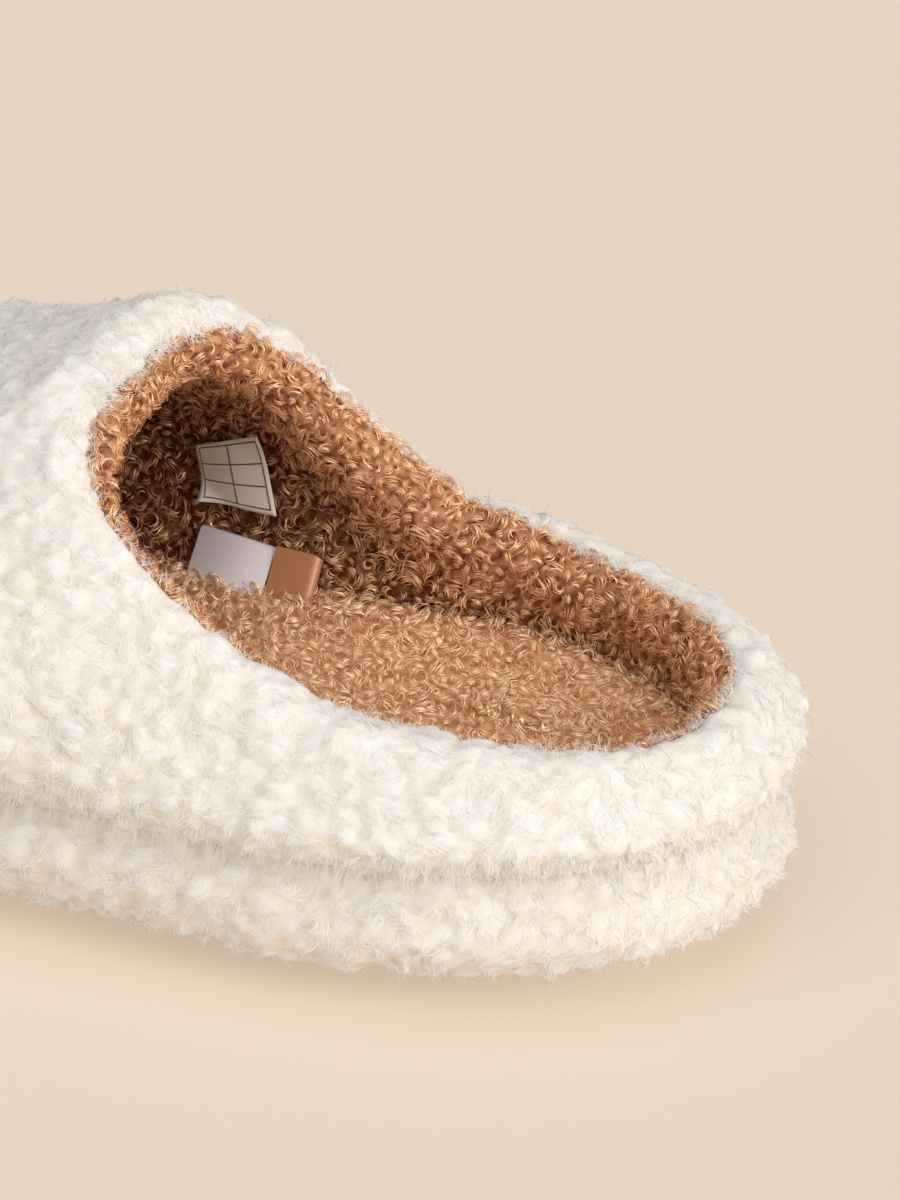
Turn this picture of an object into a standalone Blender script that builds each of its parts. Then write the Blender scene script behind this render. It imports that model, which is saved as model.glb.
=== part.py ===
"""House slipper for the left foot, with a closed toe, a wide collar and a low padded heel wall.

A fleece covered platform sole, a thick hollow upper with a rolled rim, an insole and three small labels.
Metres, +X to the toe, +Y to the wearer's left, +Z up. The sole stands on z = 0.
"""
from collections import namedtuple
from math import cos, pi, radians, sin

import bpy
import numpy as np

# Sole
LENGTH = 0.270            # heel to toe along the groove between sole and upper
SOLE_HEIGHT = 0.0271      # floor to groove
SOLE_BULGE = 0.0042       # how far the sole's side swells past the groove
HEEL_BULGE = 0.0034       # more swell round the heel
SOLE_TUCK = 0.0160        # how far the lower edge turns in under the side
SWELL_START = 0.08        # share of the swell that is already there at the floor
SWELL_POWER = 0.8         # fullness of the swell, less is fuller
TUCK_POWER = 4            # how close to the floor the turn under stays
HEEL_TUCK = 0.0060        # more turn under the heel
HEEL_FADE = 3             # how soon both fade along the sides
TOE_SPRING = 0.005        # lift of the toe end
SPRING_START = 0.70       # share of the length where the toe begins to lift
ARCH_HOLLOW = 0.0025      # height of the arch under the inner side
ARCH_MIDDLE = 0.45        # share of the length at the arch's highest place
ARCH_REACH = 0.13         # share of the length from there to each end of the arch
HEEL_ROUND = 0.31         # share of the length taken by the round heel
TOE_ROUND = 0.25          # share of the length taken by the round toe
ROUND_POWER = 2.2         # 2 is an ellipse, more is squarer
TOE_SWING = 0.005         # swing of the toe to the right, the big toe's side
SWING_START = 0.50        # share of the length where the swing begins

# Upper
WALL_FOOT = 0.0115        # wall at the sole: outer pile, backing, foam and lining pile
WALL_RIM = 0.0142         # wall at the rolled rim
OPENING_HEEL = 0.0037     # heel end of the rim's middle line, from the heel end of the outline
OPENING_THROAT = 0.1200   # throat end of the same line
OPENING_HALF = 0.0374     # half width of the same line
OPENING_SHIFT = -0.0006   # shift of the same line to the left
HEEL_CORNER = 0.82        # roundness of the opening at the heel, less is squarer
THROAT_CORNER = 0.52      # roundness of the opening at the throat
SIDE_SWELL = 0.0142       # swell of the upper's side over the groove
LINING_SWELL = 0.0030     # swell of the lining's side over the insole
TOE_SWELL = 0.0100        # swell of both at the toe
SIDE_RISE = 0.53          # share of the side's height where it swells
TOE_RISE = 0.70           # the same at the toe
RIM_RUN = 0.40            # run of the wall up to the rim, as a share of its height
VAMP_RUN = 0.50           # run of the vamp up to the throat, as a share of its reach
VAMP_START = 0.45         # share of the turn from heel to toe where the side becomes the vamp

# Insole and labels
INSOLE_TOP = 0.0318       # floor to the top of the insole at the heel
INSOLE_EDGE = 0.0016      # rounding of the insole's upper edge
INSOLE_BEND = 0.3         # share of the rounding at its middle point, measured from both faces
INSOLE_DISH = 0.0014      # how far the middle of the insole lies under its edge
GAP = 0.0003              # clearance between neighbours

# Mesh
TURNS = 80                # sections round the foot
OUTER_STEPS = 13          # steps up the outside of the wall
RIM_STEPS = 7             # steps over the rim
INNER_STEPS = 11          # steps down the inside
SOLE_STEPS = 8            # steps up the sole's side
ACROSS = 4                # steps across the sole and the insole
CLOSER = 1.3              # steps up the wall and the sole lie closer at the bottom, more so with a higher power
LABEL_STEPS = 4           # steps along and up a label
SLOPE_STEP = 1e-3         # step in turn or height for the slope of a face
SOLVE_ROUNDS = 20         # rounds to find a place on the lining
SOLVE_PACE = 0.7          # share of the miss taken up in a round
SHARP_ANGLE = 50.0        # degrees between faces that stay an edge

# Half widths of the sole on each side, along its length
Width = namedtuple("Width", "along left right")
WIDTHS = (
    Width(0.00, 0.0465, 0.0455),
    Width(0.16, 0.0479, 0.0469),
    Width(0.42, 0.0468, 0.0415),
    Width(0.68, 0.0528, 0.0500),
    Width(0.88, 0.0490, 0.0500),
    Width(1.00, 0.0460, 0.0470),
)

# Middle line of the rim from heel (0) to throat (1): its height on each side and its lean over the foot
Rim = namedtuple("Rim", "along left right lean")
RIMS = (
    Rim(0.00, 0.0383, 0.0383, 35.0),
    Rim(0.48, 0.0444, 0.0444, 30.0),
    Rim(0.95, 0.0746, 0.0816, 55.0),
    Rim(1.00, 0.0826, 0.0826, 63.5),
)

# Labels on the lining of the right wall: middle of each from the heel end and the floor, and its turn in degrees
Label = namedtuple("Label", "name x z turn width height thick colour roughness")
LABELS = (
    Label("wall_label", 0.1105, 0.0472, 14.0, 0.0140, 0.0135, 0.0004, (0.80, 0.78, 0.74), 0.6),
    Label("satin_tag", 0.1090, 0.0351, 0.0, 0.0142, 0.0056, 0.0012, (0.86, 0.84, 0.84), 0.4),
    Label("satin_loop", 0.0973, 0.0350, 0.0, 0.0080, 0.0054, 0.0016, (0.55, 0.33, 0.19), 0.4),
)

# Colour and roughness of the pieces
Finish = namedtuple("Finish", "colour roughness")
SOLE_FLEECE = Finish((0.81, 0.74, 0.63), 0.95)
UPPER_FLEECE = Finish((0.83, 0.78, 0.69), 0.95)
INSOLE_PILE = Finish((0.52, 0.27, 0.13), 0.85)

UP = np.array((0.0, 0.0, 1.0))


def clear_scene():
    for item in list(bpy.data.objects):
        bpy.data.objects.remove(item, do_unlink=True)


def ease(share):
    """Smooth step from 0 to 1."""
    t = np.clip(share, 0.0, 1.0)
    return t * t * (3 - 2 * t)


def unit(vector):
    return vector / np.linalg.norm(vector, axis=-1, keepdims=True)


def read(table, column, at):
    """Smooth curve through one column of a table, which never swings past its rows."""
    places = np.array([row.along for row in table])
    values = np.array([getattr(row, column) for row in table])
    slopes = np.diff(values) / np.diff(places)
    tangents = np.concatenate((slopes[:1], np.zeros(len(slopes) - 1), slopes[-1:]))
    for i in range(1, len(slopes)):
        before, after = slopes[i - 1], slopes[i]
        if before * after > 0:
            tangents[i] = 2 * before * after / (before + after)
    row = np.clip(np.searchsorted(places, at) - 1, 0, len(slopes) - 1)
    step = places[row + 1] - places[row]
    t = np.clip((at - places[row]) / step, 0.0, 1.0)
    rise = values[row + 1] - values[row]
    start, end = step * tangents[row], step * tangents[row + 1]
    return values[row] + start * t + (3 * rise - 2 * start - end) * t**2 + (start + end - 2 * rise) * t**3


def from_heel(turn):
    """Angle from the heel, 0 to pi at the toe, on either side."""
    return np.where(turn <= pi, turn, 2 * pi - turn)


def on_left(turn):
    return turn <= pi


def stack(x, y, z):
    return np.stack(np.broadcast_arrays(x, y, z), axis=-1)


def outline(turn):
    """Groove line in plan. A turn of 0 is the heel, pi the toe, and the left side comes first."""
    along = 0.5 - 0.5 * np.cos(from_heel(turn))
    heel = 1 - np.clip(along / HEEL_ROUND, 0, 1)
    toe = 1 - np.clip((1 - along) / TOE_ROUND, 0, 1)
    rounding = ((1 - heel**ROUND_POWER) * (1 - toe**ROUND_POWER)) ** (1 / ROUND_POWER)
    half = np.where(on_left(turn), read(WIDTHS, "left", along), -read(WIDTHS, "right", along))
    swing = TOE_SWING * np.clip((along - SWING_START) / (1 - SWING_START), 0, 1) ** 2
    return along * LENGTH, half * rounding - swing


def outward(turn):
    """Level direction square to the groove line, away from the foot."""
    x1, y1 = outline((turn + SLOPE_STEP) % (2 * pi))
    x0, y0 = outline((turn - SLOPE_STEP) % (2 * pi))
    return unit(stack(y0 - y1, x1 - x0, 0.0))


def toe_lift(x):
    return TOE_SPRING * np.clip((x / LENGTH - SPRING_START) / (1 - SPRING_START), 0, 1) ** 2


def at_heel(turn):
    """1 at the back of the heel, falling to 0 along the sides."""
    return np.clip(np.cos(from_heel(turn)), 0, 1) ** HEEL_FADE


def groove(turn):
    x, y = outline(turn)
    return stack(x, y, SOLE_HEIGHT + toe_lift(x))


def rim_line(turn):
    """Middle of the rolled rim."""
    angle = from_heel(turn)
    along = (1 - np.cos(angle)) / 2
    corner = HEEL_CORNER + (THROAT_CORNER - HEEL_CORNER) * along
    half = OPENING_HALF * np.abs(np.sin(angle)) ** corner
    x = OPENING_HEEL + (OPENING_THROAT - OPENING_HEEL) * along
    y = OPENING_SHIFT + np.where(on_left(turn), half, -half)
    z = np.where(on_left(turn), read(RIMS, "left", along), read(RIMS, "right", along))
    return stack(x, y, z)


def rim_axes(turn):
    """Direction in which the wall climbs to its rim, and the one square to it, away from the foot."""
    run = rim_line((turn + SLOPE_STEP) % (2 * pi)) - rim_line((turn - SLOPE_STEP) % (2 * pi))
    inward = unit(stack(run[..., 1], -run[..., 0], 0.0))
    along = (1 - np.cos(from_heel(turn))) / 2
    lean = np.radians(read(RIMS, "lean", along))[..., None]
    return inward * np.sin(lean) + UP * np.cos(lean), UP * np.sin(lean) - inward * np.cos(lean)


def wall_face(turn, up, inset, swell, half_rim):
    """Point on one face of the wall: up runs from 0 at the sole to 1 where the rim's roll begins.

    The face starts the given inset inside the groove line, swells over it and ends beside the rim's middle.
    """
    out = outward(turn)
    foot = groove(turn) + UP * GAP - out * inset
    middle = rim_line(turn)
    climb, away = rim_axes(turn)
    rim = middle + away * half_rim
    height = (rim - foot)[..., 2:]
    reach = np.linalg.norm((middle - foot)[..., :2], axis=-1, keepdims=True)
    vamp = ease((from_heel(turn) / pi - VAMP_START) / (1 - VAMP_START))[..., None]
    swell = swell + (TOE_SWELL - swell) * vamp
    rise = SIDE_RISE + (TOE_RISE - SIDE_RISE) * vamp
    run = RIM_RUN * (1 - vamp) * height + VAMP_RUN * vamp * reach
    side = foot + out * swell + UP * height * rise
    top = rim - climb * run
    t = up[..., None]
    return (1 - t) ** 3 * foot + 3 * (1 - t) ** 2 * t * side + 3 * (1 - t) * t**2 * top + t**3 * rim


def outside(turn, up):
    return wall_face(turn, up, 0.0, SIDE_SWELL, WALL_RIM / 2)


def inside(turn, up):
    return wall_face(turn, up, WALL_FOOT, LINING_SWELL, -WALL_RIM / 2)


def turns():
    return np.linspace(0, 2 * pi, TURNS, endpoint=False)


def upper_sections():
    """Closed section of the wall at each turn: up the outside, over the rim, down the inside."""
    turn = turns()[:, None]
    up = np.linspace(0, 1, OUTER_STEPS + 1)[None, :] ** CLOSER
    down = np.linspace(1, 0, INNER_STEPS + 1)[None, :] ** CLOSER
    outer = outside(*np.broadcast_arrays(turn, up))
    inner = inside(*np.broadcast_arrays(turn, down))
    climb, away = rim_axes(turn)
    over = np.linspace(0, pi, RIM_STEPS + 1)[None, 1:-1, None]
    rim = rim_line(turn) + (away * np.cos(over) + climb * np.sin(over)) * WALL_RIM / 2
    return np.concatenate((outer, rim, inner), axis=1)


def underside(x, y):
    """Height of the sole's bottom: flat at heel and ball, hollow at the arch, lifted at the toe."""
    hump = np.clip(1 - ((x / LENGTH - ARCH_MIDDLE) / ARCH_REACH) ** 2, 0, 1) ** 2
    inner_side = np.clip(0.5 - y / (2 * WIDTHS[2].left), 0, 1)
    return toe_lift(x) + ARCH_HOLLOW * hump * inner_side


def sole_rings():
    """Rings round the sole from the bottom to the groove: tucked under, swollen, then drawn in."""
    turn = turns()
    line, out = groove(turn), outward(turn)
    bulge = SOLE_BULGE + HEEL_BULGE * at_heel(turn)
    tuck = SOLE_TUCK + HEEL_TUCK * at_heel(turn)
    rings = []
    for share in np.linspace(0, 1, SOLE_STEPS + 1) ** CLOSER:
        arch = np.sin(pi * (SWELL_START + (1 - SWELL_START) * share))
        swell = max(arch, 0.0) ** SWELL_POWER
        ring = line + out * (bulge * swell - tuck * (1 - share) ** TUCK_POWER)[:, None]
        bottom = underside(ring[:, 0], ring[:, 1])
        ring[:, 2] = bottom + (line[:, 2] - bottom) * share
        rings.append(ring)
    return rings


def insole_rings():
    """Rings round the insole, just inside the upper's wall and just above the sole."""
    turn = turns()
    edge = inside(turn, np.zeros(TURNS))
    out, lift = outward(turn), toe_lift(edge[:, 0])
    levels = (
        (SOLE_HEIGHT + GAP, GAP),
        (INSOLE_TOP - INSOLE_EDGE, GAP),
        (INSOLE_TOP - INSOLE_EDGE * INSOLE_BEND, GAP + INSOLE_EDGE * INSOLE_BEND),
        (INSOLE_TOP, GAP + INSOLE_EDGE),
    )
    rings = []
    for height, inset in levels:
        ring = edge - out * inset
        ring[:, 2] = height + lift
        rings.append(ring)
    return rings


def add_object(name, points, faces, finish):
    mesh = bpy.data.meshes.new(name)
    mesh.from_pydata([tuple(point) for point in points], [], faces)
    mesh.update()
    mesh.shade_smooth()
    mesh.set_sharp_from_angle(angle=radians(SHARP_ANGLE))
    material = bpy.data.materials.new(name)
    material.use_nodes = True
    shader = material.node_tree.nodes["Principled BSDF"]
    shader.inputs["Base Color"].default_value = (*finish.colour, 1.0)
    shader.inputs["Roughness"].default_value = finish.roughness
    mesh.materials.append(material)
    item = bpy.data.objects.new(name, mesh)
    bpy.data.collections["house_slipper"].objects.link(item)
    item.parent = bpy.data.objects["slipper_frame"]
    return item


def wrap_faces(rows, columns):
    """Quads of a surface that closes on itself both ways."""
    faces = []
    for i in range(rows):
        for j in range(columns):
            k, m = (i + 1) % rows, (j + 1) % columns
            faces.append((i * columns + m, k * columns + m, k * columns + j, i * columns + j))
    return faces


def add_upper():
    sections = upper_sections()
    rows, columns = sections.shape[:2]
    faces = wrap_faces(rows, columns)
    return add_object("upper", sections.reshape(-1, 3), faces, UPPER_FLEECE)


def add_slab(name, rings, bottom, top, finish):
    """Closed slab through stacked rings. Both ends are laid in strips from the left side to the right."""
    points = [point for ring in rings for point in ring]
    faces = []
    for level in range(len(rings) - 1):
        for i in range(TURNS):
            k = (i + 1) % TURNS
            low, high = level * TURNS, (level + 1) * TURNS
            faces.append((low + i, high + i, high + k, low + k))
    for ring, height, upward in ((0, bottom, False), (len(rings) - 1, top, True)):
        strips = []
        for i in range(TURNS // 2 + 1):
            left, right = ring * TURNS + i, ring * TURNS + (-i) % TURNS
            if left == right:
                strips.append([left] * (ACROSS + 1))
                continue
            strip = [left]
            for j in range(1, ACROSS):
                share = j / ACROSS
                x, y, z = (1 - share) * points[left] + share * points[right]
                strip.append(len(points))
                points.append(np.array((x, y, height(x, y, z, share))))
            strips.append(strip + [right])
        for near, far in zip(strips, strips[1:]):
            for j in range(ACROSS):
                corners = [near[j], near[j + 1], far[j + 1], far[j]]
                corners = list(dict.fromkeys(corners))
                faces.append(tuple(corners if upward else corners[::-1]))
    return add_object(name, points, faces, finish)


def add_sole():
    def bottom(x, y, z, share):
        return underside(x, y)

    def top(x, y, z, share):
        return z

    return add_slab("sole", sole_rings(), bottom, top, SOLE_FLEECE)


def add_insole():
    def bottom(x, y, z, share):
        return z

    def top(x, y, z, share):
        return z - INSOLE_DISH * 4 * share * (1 - share)

    return add_slab("insole", insole_rings(), bottom, top, INSOLE_PILE)


def lining_at(x, z):
    """Turn and share up the wall of the lining's point at a given length and height, on the right side."""
    turn = np.full(x.shape, 1.5 * pi)
    up = np.full(x.shape, 0.5)
    for _ in range(SOLVE_ROUNDS):
        here = inside(turn, up)
        by_turn = (inside(turn + SLOPE_STEP, up) - here) / SLOPE_STEP
        by_up = (inside(turn, up + SLOPE_STEP) - here) / SLOPE_STEP
        miss_x, miss_z = x - here[..., 0], z - here[..., 2]
        scale = (by_turn[..., 0] * by_up[..., 2] - by_turn[..., 2] * by_up[..., 0]) / SOLVE_PACE
        turn = turn + (miss_x * by_up[..., 2] - miss_z * by_up[..., 0]) / scale
        up = up + (miss_z * by_turn[..., 0] - miss_x * by_turn[..., 2]) / scale
        up = np.clip(up, SLOPE_STEP, 1 - SLOPE_STEP)
    return turn, up


def lining_normal(turn, up):
    """Direction from the lining into the foot's space."""
    round_foot = inside(turn + SLOPE_STEP, up) - inside(turn - SLOPE_STEP, up)
    rise = inside(turn, up + SLOPE_STEP) - inside(turn, up - SLOPE_STEP)
    return unit(np.cross(round_foot, rise))


def add_label(label):
    """Thin plate laid on the lining, square to the foot or turned a little."""
    shares = np.linspace(-0.5, 0.5, LABEL_STEPS + 1)
    across, tall = np.meshgrid(shares * label.width, shares * label.height, indexing="ij")
    tilt = radians(label.turn)
    x = label.x - across * cos(tilt) + tall * sin(tilt)
    z = label.z + across * sin(tilt) + tall * cos(tilt)
    turn, up = lining_at(x, z)
    points = inside(turn, up) + lining_normal(turn, up) * GAP
    count = LABEL_STEPS + 1
    faces = []
    for i in range(LABEL_STEPS):
        for j in range(LABEL_STEPS):
            corner = i * count + j
            faces.append((corner, corner + count, corner + count + 1, corner + 1))
    item = add_object(label.name, points.reshape(-1, 3), faces, label)
    plate = item.modifiers.new("thickness", "SOLIDIFY")
    plate.thickness = label.thick
    plate.offset = 1.0
    return item


def main():
    clear_scene()
    collection = bpy.data.collections.new("house_slipper")
    bpy.context.scene.collection.children.link(collection)
    frame = bpy.data.objects.new("slipper_frame", None)
    collection.objects.link(frame)
    parts = [add_sole(), add_upper(), add_insole()]
    parts += [add_label(label) for label in LABELS]
    corners = np.array([vertex.co for part in parts for vertex in part.data.vertices])
    middle = (corners.min(axis=0) + corners.max(axis=0)) / 2
    frame.location = (-middle[0], -middle[1], 0.0)


main()
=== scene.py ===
"""Looks of the house slipper: fleece, lining pile, foot bed, labels, floor, light and camera.

Metres, +X to the toe, +Y to the wearer's left, +Z up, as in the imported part.
"""
from collections import namedtuple
from math import cos, pi, radians, sin

import bpy
import numpy as np
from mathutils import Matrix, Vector
from mathutils.bvhtree import BVHTree
from mathutils.kdtree import KDTree


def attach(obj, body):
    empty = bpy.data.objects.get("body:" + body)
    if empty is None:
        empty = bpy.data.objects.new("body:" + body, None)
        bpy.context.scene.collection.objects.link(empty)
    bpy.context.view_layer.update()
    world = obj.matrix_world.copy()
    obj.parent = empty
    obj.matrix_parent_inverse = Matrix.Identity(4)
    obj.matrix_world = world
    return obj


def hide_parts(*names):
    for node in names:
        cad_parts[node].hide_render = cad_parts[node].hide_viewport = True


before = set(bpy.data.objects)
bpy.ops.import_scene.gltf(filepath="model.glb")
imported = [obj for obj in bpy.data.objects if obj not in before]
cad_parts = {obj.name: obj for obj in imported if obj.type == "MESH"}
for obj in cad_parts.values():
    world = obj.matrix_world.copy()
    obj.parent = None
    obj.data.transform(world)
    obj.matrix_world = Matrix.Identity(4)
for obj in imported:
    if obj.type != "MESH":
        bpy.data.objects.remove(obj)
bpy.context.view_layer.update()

MM = 0.001
RANDOM = np.random.default_rng(11)
UP = np.array((0.0, 0.0, 1.0))

# Faces, by the rise of their normals
UNDERSIDE = -0.8              # under this a face looks down
TOPSIDE = 0.85                # and over this it looks up
UPRIGHT = 0.5                 # nearer level than this it is a side
EDGE_START = 0.4              # where skins meet, an edge swells from this rise or fall on
EDGE_SPAN = 0.5               # and fully this much further round

# Skins
FLEECE_MESH = 1.35 * MM       # edge length of the fleece and lining skins
SOLE_MESH = 1.7 * MM
INSOLE_MESH = 2.0 * MM
WELD = 1e-6                   # corners nearer than this are one
SOFTENING = 4                 # rounds of smoothing
SEAM_FADE = 1.6 * MM          # the pile grows to its height over this distance from the seam
SEAM_OVERLAP = 1.2 * MM       # white hairs reach this far over the lining
SEAM_FUZZ = 5.0 * MM          # and stand up more this near it
SEAM_TUCK = 3.0 * MM          # the lining's skin runs on this far under the fleece
SEAM_TRIM = 2.6 * MM          # and the fleece's skin this far under the lining
SEAM_SUNK = 2.6 * MM          # how deep their hidden edges go
SEAM_WAVER = 2.4              # degrees over the rim of each of the seam's uneven waves
SEAM_WAVES = (41, 67, 97)     # round the rim
SEAM_TURN = 1.0               # radians by which the waves are turned
GROOVE_TOP = 0.0345           # the upper's bottom edge lies under this height, toe lift included

# Middle line of the rolled rim, as in the solid, from the heel (0) to the throat (1)
HEEL_X = -0.13277             # heel end of the groove between sole and upper
MIDDLE_Y = 0.00063
RIM_HEEL = HEEL_X + 0.0037
RIM_THROAT = HEEL_X + 0.1200
RIM_HALF = 0.0374             # half its width
RIM_SHIFT = MIDDLE_Y - 0.0006
HEEL_CORNER = 0.82            # power of the outline at the heel: 1 is an ellipse, and less is squarer
THROAT_CORNER = 0.52
RIM_RADIUS = 0.0071           # of the roll
RIM_SAMPLES = 480
RIM_CHUNK = 4000              # points held against the samples at a time
ROLL_REACH = 1.5              # radii from the middle line within which a place is on the roll
RIM_LIGHT = 0.0148            # the pile is painted lighter up to this far from the middle line: painted light on the rim
RIM_FULL = 1.1                # and lightest within this many radii
RIM_RICH = 0.7                # share of that light from which the near rim has full curls
SAG_END = 1.5                 # diameters of the roll from the middle line at which the sag has ended
FULLER_END = 2.2              # radii from the middle line at which the fuller roll has ended
FULLER_FADE = 0.8             # radii over which it fades
Curve = namedtuple("Curve", "middle climb away seam sag roll")
Rim = namedtuple("Rim", "along left right lean")
RIMS = (
    Rim(0.00, 0.0383, 0.0383, 35.0),
    Rim(0.48, 0.0444, 0.0444, 30.0),
    Rim(0.95, 0.0746, 0.0816, 55.0),
    Rim(1.00, 0.0826, 0.0826, 63.5),
)

# Values on each side from the heel (0) to the throat (1)
Side = namedtuple("Side", "along left right")

# Where the lining meets the fleece, in degrees over the rim from its outer side
SEAMS = (
    Side(0.00, 72.0, 72.0),
    Side(0.10, 95.0, 76.0),
    Side(0.30, 118.0, 82.0),
    Side(0.45, 118.0, 68.0),
    Side(0.57, 110.0, 34.0),
    Side(0.71, 80.0, 34.0),
    Side(0.83, 63.0, 80.0),
    Side(0.88, 62.0, 80.0),
    Side(0.93, 76.0, 94.0),
    Side(0.96, 92.0, 110.0),
    Side(1.00, 108.0, 108.0),
)

# How far the rim sags under its own weight
SAGS = (
    Side(0.00, 0.0, 0.0),
    Side(0.47, 0.0, 0.0),
    Side(0.57, 0.0, 2.6 * MM),
    Side(0.74, 0.0, 2.6 * MM),
    Side(0.80, 0.0, 0.0),
    Side(1.00, 0.0, 0.0),
)

# How much fuller the rim's roll is on the lining's side than in the solid
ROLLS = (
    Side(0.00, 0.0, 0.0),
    Side(0.60, 0.0, 0.0),
    Side(0.78, -0.9 * MM, 0.0),
    Side(0.90, -0.9 * MM, 0.0),
    Side(0.95, 1.4 * MM, 0.7 * MM),
    Side(0.985, 3.6 * MM, 1.8 * MM),
    Side(1.00, 3.2 * MM, 3.2 * MM),
)

# Tufts of the fleece. A pair of values is the least and the most, here and further down.
SKIN_INSET = 1.0 * MM         # how far the backing lies under the solid's face
FLOOR_CLEAR = 0.1 * MM        # pile stays this far over the floor
UPPER_TOUCH = 0.8 * MM        # skins swell this far where upper and sole meet
SOLE_TOUCH = 3.4 * MM
BED_TOUCH = 2.4 * MM          # and where the foot bed meets the wall
SOLE_EDGE = 11 * MM           # width of the swollen edge round the sole's top
SOLE_FLAT = 0.97              # the sole has no pile where its normal points down by this or more
SOLE_FLAT_FADE = 0.15         # and its full pile this much further round
TUFT_SPACING = 3.0 * MM
TUFT_TRIES = 8                # random places for each square of the spacing
TUFT_HEIGHT = 1.3 * MM
TUFT_HEIGHTS = (0.3, 1.3)     # shares of the height
TUFT_REACHES = (0.55, 1.15)   # how far a tuft reaches, in shares of the spacing
TUFT_STRETCH = 1.6            # most that a tuft is drawn out along its run
TUFT_SWIRLS = (0.3, 2.2)      # radians that its hairs wind
NEIGHBOURS = 6                # tufts looked at round each point
DOME_END = 1.8                # reaches from a tuft's middle at which its dome ends
CREASE_WIDTH = 0.6            # of the dip between two tufts, in reaches
CREASE_SHARE = 0.4            # of a tuft's height that is left in the dip; the skin's colour follows it, so the dip is painted darker: painted shade
SKIN_SHADE = 0.75             # most that the fleece's skin comes to the colour of the tips; towards the dips it goes to the roots' painted shade
SKIN_TINTS = (-1.0, 2.0)      # unevenness of the skins' colour under curls
SWELL_SPACING = 11 * MM       # broader unevenness under the tufts
SWELL_HEIGHT = 0.8 * MM
WARP_WAVES = 6                # uneven shift of the tufts' outlines
WARP_WAVE = 5.5 * MM          # length of each wave
WARP_SHIFT = 0.35 * MM

# Hairs that lie on the fleece
HAIRS = 24                    # on a tuft
FAR_HAIRS = 7                 # on a tuft of the outer side or the toe, which the photo doesn't show
FAR_X = 0.045                 # the toe's tufts lie past here
FAR_FACING = -0.3             # and the outer side's tufts have normals with less than this to the left
HAIR_STEPS = 3
HAIR_WIDTH = 0.08 * MM
HAIR_WIDTHS = (0.6, 1.4)      # shares of the width
HAIR_TAPER = (0.8, 1.0, 0.3)  # and its share at each step
HAIR_STARTS = (0.02, 1.7)     # square of a root's distance from its tuft's middle, in reaches
HAIR_RUNS = (0.3, 1.2)        # share of that distance that a hair runs inwards
HAIR_WINDS = (0.4, 1.6)       # shares of the tuft's swirl
HAIR_FOOT = 0.1 * MM          # over the skin at the root
HAIR_RISE = 0.35 * MM         # and that much more at the tip
HAIR_LOOSE = 1.5 * MM         # most that a hair's end stands up
HAIR_RARE = 3                 # power that keeps loose ends rare
RIGHT_FACING = -0.1           # tufts with normals further right than this have shorter loose ends
RIGHT_LOOSE = 0.4             # share of the length that these keep
HAIR_DEPTH = 0.45             # share of the tips' colour that a hair has at least; hairs are painted darker at their roots and off their tuft's dome: painted shade
HAIR_PALE = 0.6               # and of the rest, at its root
HAIR_SHARED = 0.4             # share of a hair's tint that comes from its tuft
HAIR_BULGE = 0.35             # hairs are shaded as if they bulged with their tuft
HAIR_UP = 0.4                 # and faced up a little
STRAY_WIDTHS = (0.6, 1.3)     # shares of the width for hairs that stand off the fleece
STRAY_TAPER = (0.9, 0.9, 0.3)

# Hairs that reach over the seam onto the lining, in clumps
FRINGE_CLUMPS = 330
FRINGE_HAIRS = 24             # in a clump
FRINGE_SPARSE = 0.35          # share of them that is left where the seam lies on the rim's top
FRINGE_SPREAD = 1.0 * MM
FRINGE_LENGTH = 1.9 * MM
FRINGE_REACHES = (0.4, 1.3)   # shares of the length, clump by clump
FRINGE_LENGTHS = (0.5, 1.2)   # and hair by hair
FRINGE_ROOT = 14.0            # degrees over the rim, most that a hair's root lies back from the seam
FRINGE_TOP = 62.0             # and on the left side, where the seam lies inside
FRINGE_INSIDE = 100.0         # degrees over the rim from which that holds
FRINGE_LIFT = 1.4 * MM        # height of the pile that the roots lie on
FRINGE_TOWARD = (0.3, 1.0)    # shares of a hair's heading: over the seam,
FRINGE_ASIDE = 0.5            # along it,
FRINGE_RISE = (0.0, 0.6)      # and up from the skin,
FRINGE_STEEP = 2.0            # which is this many times as much where the seam lies inside
FRINGE_BENDS = (-0.3, 0.5)    # how much a hair bends over the seam
FRINGE_CURVE = 0.4            # and along it
FRINGE_FACING = -0.2          # there is none where the rim's normal has less than this to the left
# the fringe's hairs have this share of the tips' colour; the rest is the roots' painted shade
FRINGE_DEPTH = 0.85

# Hairs that hang from the upper's lower edge over the groove
GROOVE_DENSITY = 1.5 / MM**2
LIP_HEIGHT = 4.0 * MM         # of that edge over the groove
LIP_FACING = -0.4             # rise of its normals
LIP_SPAN = 0.35               # to either side of that
GROOVE_LENGTH = 2.6 * MM
GROOVE_LENGTHS = (0.3, 1.2)   # shares of the length
GROOVE_OUT = (0.1, 0.7)       # shares of a hair's heading: out from the skin,
GROOVE_DOWN = (0.3, 1.0)      # down,
GROOVE_STRAY = 0.35           # and any other way
GROOVE_CURVE = 0.3            # how much a hair bends any way
GROOVE_DROOP = 0.2            # and down
# the groove's hairs have this share of the tips' colour; the rest is the roots' painted shade
GROOVE_DEPTH = 0.8
GROOVE_UP = 0.6               # they are shaded as if they faced up a little

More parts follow.
